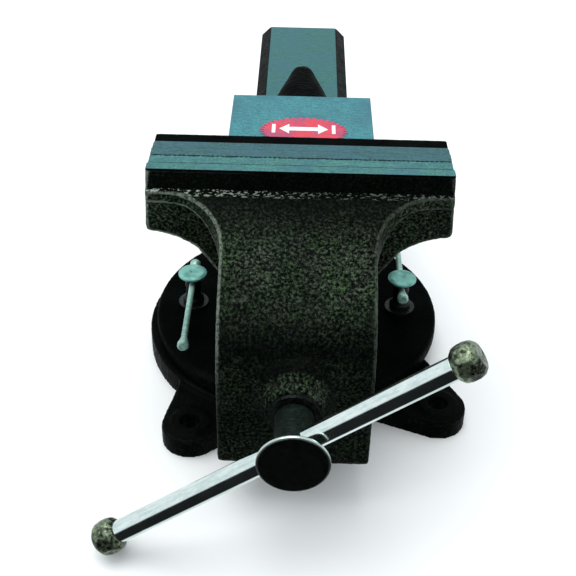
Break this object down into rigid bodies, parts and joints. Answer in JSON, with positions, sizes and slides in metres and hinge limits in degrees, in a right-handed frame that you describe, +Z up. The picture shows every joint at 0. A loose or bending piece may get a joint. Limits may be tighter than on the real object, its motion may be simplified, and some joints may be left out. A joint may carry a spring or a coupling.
{
  "type": "swivel base bench vise",
  "caption": "Heavy cast bench vise with wide jaws, a sliding channel bar, a rear anvil and horn, a screw with a sliding tommy bar, and a swivel base locked by T-bar screws.",
  "frame": {"origin": "centre of the base's underside, on the swivel axis", "axes": "+Z up; -Y towards the operator, along the screw; +X to the operator's right"},
  "size_m": [0.3256, 0.709, 0.262],
  "materials": {
    "black_casting": "rough-cast, painted black, with a fine grey-green speckle; machined tops bare",
    "jaw_steel": "ground",
    "dark_steel": "black oxide",
    "bronze": "machined",
    "badge_red": "enamelled",
    "plated_steel": "zinc plated",
    "black_spindle": "black oxide, worn bright at the rims",
    "chrome": "polished",
    "knob_steel": "forged, worn"
  },
  "bodies": {
    "base": {"base_casting": "black_casting", "pivot_stud": "dark_steel", "pivot_washer": "dark_steel", "pivot_nut": "dark_steel"},
    "swivel_body": {"fixed_jaw_casting": "black_casting", "rear_jaw_insert": "jaw_steel", "rear_insert_screws": "dark_steel", "spindle_nut": "bronze", "nut_bolts": "dark_steel", "size_badge": "badge_red", "lock_t_nuts": "dark_steel", "lock_washers": "plated_steel"},
    "moving_jaw": {"moving_jaw_casting": "black_casting", "front_jaw_insert": "jaw_steel", "front_insert_screws": "dark_steel", "thrust_washer": "dark_steel"},
    "spindle_set": {"spindle": "black_spindle", "spring_washer": "dark_steel", "disc_springs": "dark_steel", "spindle_collar": "dark_steel", "collar_pin": "dark_steel"},
    "handle": {"tommy_bar": "chrome", "left_bar_knob": "knob_steel", "right_bar_knob": "knob_steel"},
    "left_lock": {"left_lock_screw": "plated_steel"},
    "left_lock_handle": {"left_lock_bar": "plated_steel", "left_lock_bar_ends": "plated_steel"},
    "right_lock": {"right_lock_screw": "plated_steel"},
    "right_lock_handle": {"right_lock_bar": "plated_steel", "right_lock_bar_ends": "plated_steel"}
  },
  "joints": [
    {"name": "swivel_turn", "type": "hinge", "parent": "base", "child": "swivel_body", "pos_m": [0, 0, 0.03], "axis": [0, 0, 1], "continuous": true},
    {"name": "jaw_slide", "type": "slide", "parent": "swivel_body", "child": "moving_jaw", "axis": [0, -1, 0], "range_m": [0, 0.25]},
    {"name": "spindle_turn", "type": "hinge", "parent": "moving_jaw", "child": "spindle_set", "pos_m": [0, -0.25, 0.126], "axis": [0, -1, 0], "range_deg": [0, 11250]},
    {"name": "bar_slide", "type": "slide", "parent": "spindle_set", "child": "handle", "axis": [0.8121, 0, 0.5835], "range_m": [-0.124, 0.156]},
    {"name": "left_lock_turn", "type": "hinge", "parent": "swivel_body", "child": "left_lock", "pos_m": [-0.105, 0, 0.03], "axis": [0, 0, 1], "range_deg": [-14, 14]},
    {"name": "left_lock_bar_slide", "type": "slide", "parent": "left_lock", "child": "left_lock_handle", "axis": [0, 1, 0], "range_m": [-0.01, 0.086]},
    {"name": "right_lock_turn", "type": "hinge", "parent": "swivel_body", "child": "right_lock", "pos_m": [0.105, 0, 0.03], "axis": [0, 0, 1], "range_deg": [-14, 14]},
    {"name": "right_lock_bar_slide", "type": "slide", "parent": "right_lock", "child": "right_lock_handle", "axis": [0, 1, 0], "range_m": [-0.092, 0.004]}
  ],
  "couplings": [
    {"joint": "jaw_slide", "follows": "spindle_turn", "m_per_rad": 0.0012732}
  ]
}
